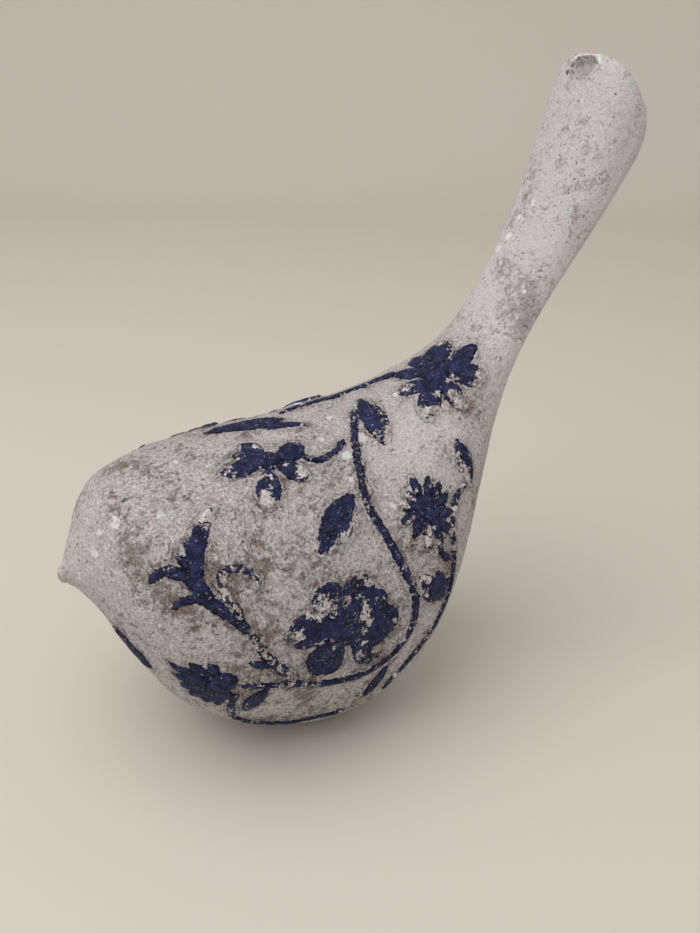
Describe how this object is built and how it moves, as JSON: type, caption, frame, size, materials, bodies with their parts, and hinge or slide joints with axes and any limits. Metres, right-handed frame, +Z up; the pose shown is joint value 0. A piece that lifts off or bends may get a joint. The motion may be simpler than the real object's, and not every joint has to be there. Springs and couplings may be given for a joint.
{
  "type": "bird figurine",
  "caption": "Plump songbird figurine in cast resin stone with an upturned tail and a raised blue vine and flower pattern, resting on a felt pad.",
  "frame": {"origin": "centre of the resting face under the felt pad", "axes": "+Z up, -X towards the beak, +X towards the tail, -Y towards the bird's left flank"},
  "size_m": [0.1612, 0.0756, 0.1699],
  "materials": {
    "cast_stone": "matte, pitted and chalky",
    "blue_paint": "matte brushed paint, worn at the edges",
    "felt": "matte",
    "plug": "matte"
  },
  "bodies": {
    "root": {"bird_casting": "cast_stone", "base_plug": "plug", "base_felt": "felt", "tail_flower": "blue_paint", "back_vine": "blue_paint", "back_leaf": "blue_paint", "breast_leaf": "blue_paint", "left_main_vine": "blue_paint", "left_top_leaf": "blue_paint", "left_star_flower": "blue_paint", "left_star_twig": "blue_paint", "left_fan_flower": "blue_paint", "left_side_leaf": "blue_paint", "left_rose": "blue_paint", "left_daisy": "blue_paint", "left_rear_vine": "blue_paint", "left_rear_leaf": "blue_paint", "left_bud": "blue_paint", "left_sprig_stem": "blue_paint", "left_acanthus": "blue_paint", "left_tendril": "blue_paint", "left_low_leaf": "blue_paint", "left_low_vine": "blue_paint", "left_corner_leaf": "blue_paint", "right_main_vine": "blue_paint", "right_star_flower": "blue_paint", "right_star_twig": "blue_paint", "right_fan_flower": "blue_paint", "right_side_leaf": "blue_paint", "right_rose": "blue_paint", "right_daisy": "blue_paint", "right_rear_vine": "blue_paint", "right_rear_leaf": "blue_paint", "right_bud": "blue_paint", "right_sprig_stem": "blue_paint", "right_acanthus": "blue_paint", "right_tendril": "blue_paint", "right_low_leaf": "blue_paint", "right_low_vine": "blue_paint", "right_corner_leaf": "blue_paint"}
  },
  "joints": []
}
